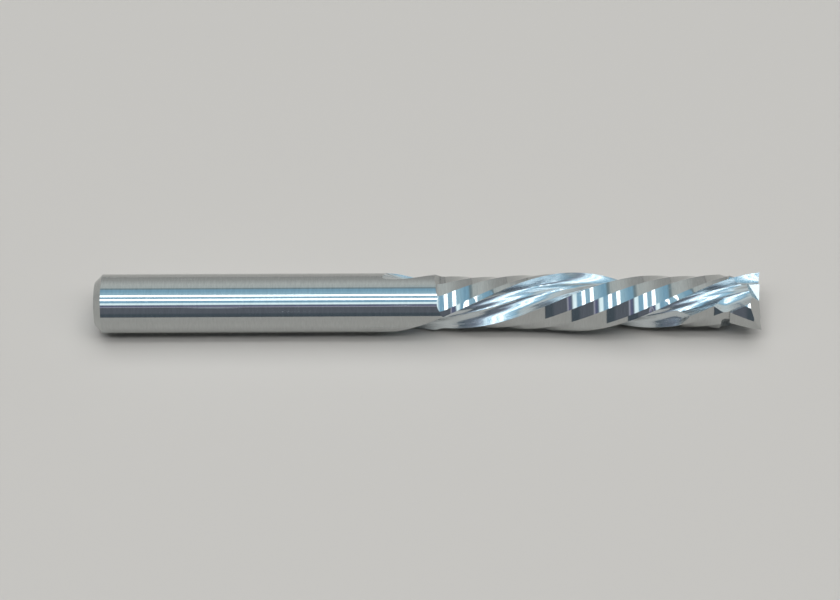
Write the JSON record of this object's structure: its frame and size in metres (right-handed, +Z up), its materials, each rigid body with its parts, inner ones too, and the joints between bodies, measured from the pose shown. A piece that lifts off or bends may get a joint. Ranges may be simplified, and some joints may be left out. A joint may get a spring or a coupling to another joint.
{
  "type": "end mill",
  "caption": "Slim solid carbide compression end mill with a plain round shank, long down-cut flutes and a short up-cut tip, for cutting sheet wood and board.",
  "frame": {"origin": "centre of the flat end of the shank, on the tool axis", "axes": "+X along the tool axis from the shank end to the cutting tip, +Z up as the tool lies on a bench"},
  "size_m": [0.045, 0.004, 0.004],
  "materials": {
    "ground_carbide": "fine-ground tungsten carbide, bright, with grinding lines along the flutes"
  },
  "bodies": {
    "root": {"end_mill": "ground_carbide"}
  },
  "joints": []
}
